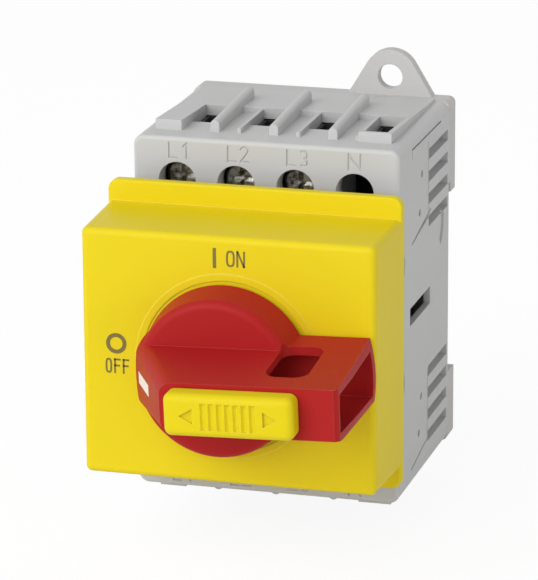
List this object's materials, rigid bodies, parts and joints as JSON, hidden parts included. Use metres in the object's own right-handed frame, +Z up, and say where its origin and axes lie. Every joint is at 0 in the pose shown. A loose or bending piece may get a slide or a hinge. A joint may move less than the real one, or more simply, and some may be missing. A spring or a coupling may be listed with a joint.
{
  "type": "rotary isolator switch",
  "caption": "Rail-mounted rotary isolator with cage clamp terminals, stand-off cover, padlockable turning knob, sliding padlock tongue and cam-driven contacts.",
  "frame": {"origin": "on the shaft axis, in the plane where the rail's flanges bear", "axes": "+Z up, +X to the right seen from the knob's side, +Y towards the rail and the wall"},
  "size_m": [0.0552, 0.0973, 0.0848],
  "materials": {
    "housing_grey": "fine moulded grain",
    "base_grey": "fine moulded grain",
    "cover_yellow": "satin moulded",
    "frame_dark": "moulded",
    "knob_red": "satin moulded",
    "mark_white": "moulded insert",
    "slide_yellow": "satin moulded",
    "catch_dark": "moulded",
    "mechanism_black": "moulded",
    "drum_natural": "natural moulded",
    "clip_dark": "moulded",
    "seal_rubber": "moulded",
    "copper_alloy": "stamped",
    "zinc_steel": "zinc plated",
    "plated_steel": "nickel plated",
    "spring_steel": "drawn wire"
  },
  "bodies": {
    "housing": {"rear_base": "base_grey", "front_housing": "housing_grey", "front_cover": "cover_yellow", "standoff_frame": "frame_dark", "frame_screws": "plated_steel", "shaft_seal": "seal_rubber", "mechanism_block": "mechanism_black", "detent_springs": "spring_steel", "guide_pins": "plated_steel", "housing_screws": "plated_steel", "rail_clip_spring": "spring_steel", "line_liner": "mechanism_black", "load_liner": "mechanism_black", "line_contact_l1": "copper_alloy", "line_clamp_l1": "zinc_steel", "line_screw_l1": "plated_steel", "line_contact_l2": "copper_alloy", "line_clamp_l2": "zinc_steel", "line_screw_l2": "plated_steel", "line_contact_l3": "copper_alloy", "line_clamp_l3": "zinc_steel", "line_screw_l3": "plated_steel", "load_contact_l1": "copper_alloy", "load_clamp_l1": "zinc_steel", "load_screw_l1": "plated_steel", "load_contact_l2": "copper_alloy", "load_clamp_l2": "zinc_steel", "load_screw_l2": "plated_steel", "load_contact_l3": "copper_alloy", "load_clamp_l3": "zinc_steel", "load_screw_l3": "plated_steel"},
    "knob": {"knob": "knob_red", "pointer_mark": "mark_white", "knob_screw": "plated_steel", "drive_shaft": "plated_steel", "shaft_sleeve": "frame_dark", "shaft_washer": "plated_steel", "cam_drum": "drum_natural"},
    "carrier": {"contact_carrier": "mechanism_black", "contact_bridge_l1": "copper_alloy", "contact_bridge_l2": "copper_alloy", "contact_bridge_l3": "copper_alloy", "contact_spring_l1": "spring_steel", "contact_spring_l2": "spring_steel", "contact_spring_l3": "spring_steel"},
    "slide": {"lock_slide": "slide_yellow", "slide_catch": "catch_dark"},
    "clip": {"rail_clip": "clip_dark"}
  },
  "joints": [
    {"name": "knob_turn", "type": "hinge", "parent": "housing", "child": "knob", "pos_m": [0, 0, 0], "axis": [0, 1, 0], "range_deg": [0, 92]},
    {"name": "carrier_travel", "type": "slide", "parent": "housing", "child": "carrier", "axis": [0, 1, 0], "range_m": [0, 0.0041]},
    {"name": "lock_slide_travel", "type": "slide", "parent": "knob", "child": "slide", "axis": [0.9994, 0, 0.0349], "range_m": [0, 0.0055]},
    {"name": "rail_clip_travel", "type": "slide", "parent": "housing", "child": "clip", "axis": [0, 0, -1], "range_m": [0, 0.004], "stiffness_N_per_m": 1500, "deforming": ["rail_clip_spring"]}
  ],
  "couplings": [
    {"joint": "carrier_travel", "follows": "knob_turn", "m_per_rad": 0.002491}
  ]
}
